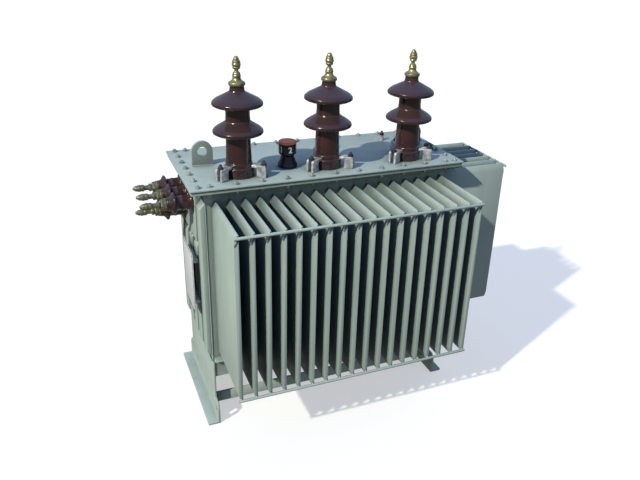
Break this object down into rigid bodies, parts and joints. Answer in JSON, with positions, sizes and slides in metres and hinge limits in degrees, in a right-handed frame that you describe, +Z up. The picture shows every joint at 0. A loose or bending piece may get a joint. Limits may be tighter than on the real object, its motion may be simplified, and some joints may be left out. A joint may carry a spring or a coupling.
{
  "type": "power transformer",
  "caption": "Oil-filled power transformer: finned steel tank on two feet, bolted cover with tall bushings, side bushings and a tap selector knob.",
  "frame": {"origin": "on the floor, under the middle of the whole object's box", "axes": "+Z up; X along the tank, with the low-voltage bushings at -X; the front, nearest the high-voltage bushings, is -Y"},
  "size_m": [1.266, 0.779, 1.184],
  "materials": {
    "grey_green_paint": "semi-gloss, weathered",
    "brown_porcelain": "glossy glaze",
    "brass": "dull",
    "cast_clamp_metal": "cast",
    "black_moulding": "satin",
    "orange_moulding": "satin",
    "nameplate_metal": "satin",
    "dark_metal": "dull",
    "plated_metal": "satin"
  },
  "bodies": {
    "transformer": {"base_bearers": "grey_green_paint", "base_cross_bars": "grey_green_paint", "base_left": "grey_green_paint", "base_right": "grey_green_paint", "filler_plug": "dark_metal", "fin_bars_back": "grey_green_paint", "fin_bars_front": "grey_green_paint", "fin_bars_right": "grey_green_paint", "fins_back": "grey_green_paint", "fins_front": "grey_green_paint", "fins_right": "grey_green_paint", "hv_bushing_1": "brown_porcelain", "hv_bushing_2": "brown_porcelain", "hv_bushing_3": "brown_porcelain", "hv_clamps_1": "cast_clamp_metal", "hv_clamps_2": "cast_clamp_metal", "hv_clamps_3": "cast_clamp_metal", "hv_terminal_1": "brass", "hv_terminal_2": "brass", "hv_terminal_3": "brass", "lifting_lug_left": "grey_green_paint", "lifting_lug_right": "grey_green_paint", "lv_bushing_1": "brown_porcelain", "lv_bushing_2": "brown_porcelain", "lv_bushing_3": "brown_porcelain", "lv_bushing_4": "brown_porcelain", "lv_mount_plate": "grey_green_paint", "lv_terminal_1": "brass", "lv_terminal_2": "brass", "lv_terminal_3": "brass", "lv_terminal_4": "brass", "nameplate": "nameplate_metal", "ribs_left": "grey_green_paint", "tank_cover": "grey_green_paint", "tank_floor": "grey_green_paint", "tank_rim": "grey_green_paint", "tank_wall_back": "grey_green_paint", "tank_wall_front": "grey_green_paint", "tank_wall_left": "grey_green_paint", "tank_wall_right": "grey_green_paint", "tap_base": "black_moulding", "thermometer_pocket": "plated_metal"},
    "tap_selector": {"tap_drum": "black_moulding", "tap_cap": "orange_moulding"}
  },
  "joints": [
    {"name": "tap_selector_turn", "type": "hinge", "parent": "transformer", "child": "tap_selector", "pos_m": [-0.168, -0.0285, 0.871], "axis": [0, 0, 1], "range_deg": [-180, 60]}
  ]
}
